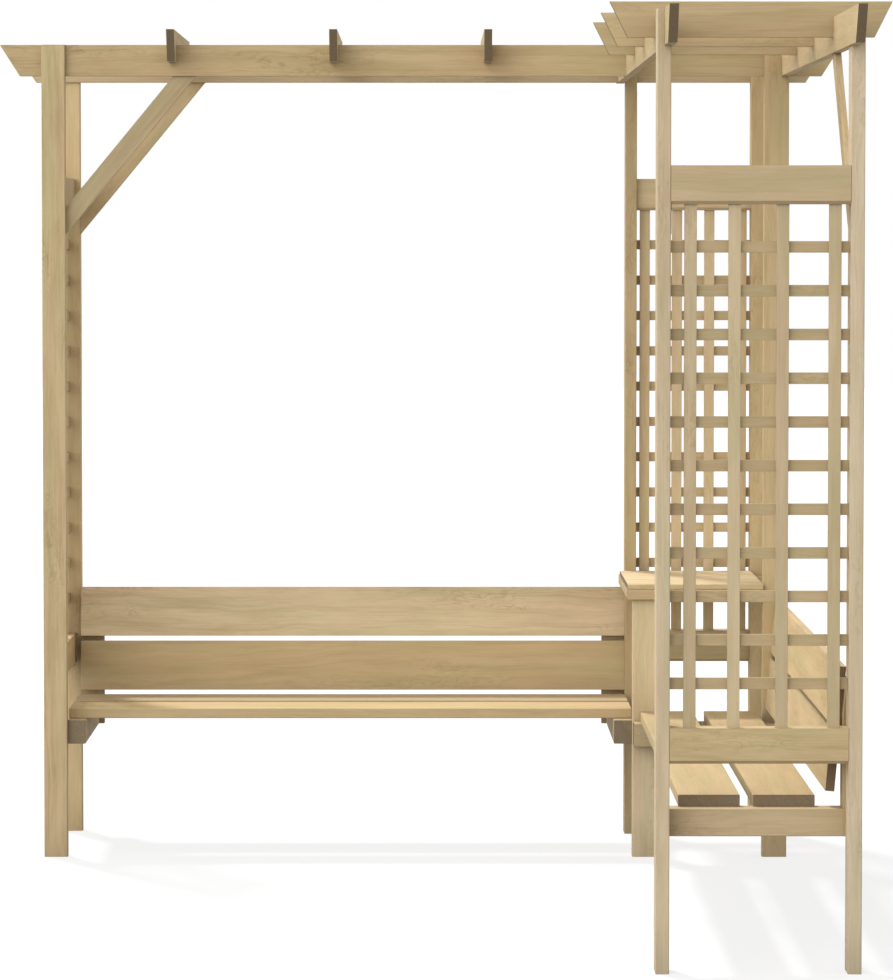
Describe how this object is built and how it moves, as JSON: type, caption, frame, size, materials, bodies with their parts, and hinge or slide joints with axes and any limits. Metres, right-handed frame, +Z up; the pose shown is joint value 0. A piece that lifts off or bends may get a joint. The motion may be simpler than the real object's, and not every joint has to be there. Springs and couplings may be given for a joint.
{
  "type": "corner arbour seat",
  "caption": "Timber corner arbour: slatted benches on two sides of a corner table, trellis panels at the ends and the corner, and an open pergola roof of beams and rafters.",
  "frame": {"origin": "on the ground, under the middle of the overall box", "axes": "+Z up; +X runs along the left bench towards the corner; +Y runs from the open side of the left bench to its back, away from the near end of the right bench"},
  "size_m": [2.169, 2.239, 2.137],
  "materials": {
    "frame_timber": "planed and impregnated, matt",
    "seat_timber": "planed and impregnated, matt",
    "trellis_timber": "planed and impregnated, matt",
    "table_timber": "planed and impregnated, matt",
    "fixings": "zinc-plated steel screws, dull"
  },
  "bodies": {
    "root": {"back_beam": "frame_timber", "corner_bottom_rail": "trellis_timber", "corner_post": "frame_timber", "corner_rear_post": "frame_timber", "corner_side_post": "frame_timber", "corner_top_rail": "trellis_timber", "corner_trellis_laths": "trellis_timber", "corner_trellis_uprights": "trellis_timber", "front_beam": "frame_timber", "inner_side_beam": "frame_timber", "left_back_brace": "frame_timber", "left_back_post": "frame_timber", "left_back_support_1": "frame_timber", "left_back_support_2": "frame_timber", "left_bearer_1": "frame_timber", "left_bearer_2": "frame_timber", "left_bottom_rail": "trellis_timber", "left_front_brace": "frame_timber", "left_front_plank": "seat_timber", "left_front_post": "frame_timber", "left_lower_back_board": "seat_timber", "left_rafter_1": "frame_timber", "left_rafter_2": "frame_timber", "left_rafter_3": "frame_timber", "left_rear_plank": "seat_timber", "left_top_rail": "trellis_timber", "left_trellis_laths": "trellis_timber", "left_trellis_uprights": "trellis_timber", "left_upper_back_board": "seat_timber", "near_bottom_rail": "trellis_timber", "near_inner_post": "frame_timber", "near_outer_post": "frame_timber", "near_top_rail": "trellis_timber", "near_trellis_laths": "trellis_timber", "near_trellis_uprights": "trellis_timber", "outer_side_beam": "frame_timber", "right_back_support_1": "frame_timber", "right_back_support_2": "frame_timber", "right_bearer_1": "frame_timber", "right_bearer_2": "frame_timber", "right_front_plank": "seat_timber", "right_inner_brace": "frame_timber", "right_lower_back_board": "seat_timber", "right_outer_brace": "frame_timber", "right_rafter_1": "frame_timber", "right_rafter_2": "frame_timber", "right_rafter_3": "frame_timber", "right_rear_plank": "seat_timber", "right_upper_back_board": "seat_timber", "table_board_1": "table_timber", "table_board_2": "table_timber", "table_board_3": "table_timber", "table_front_edge": "table_timber", "table_left_edge": "table_timber", "table_leg": "table_timber", "table_rear_bearer": "table_timber", "table_side_bearer": "table_timber"}
  },
  "joints": []
}
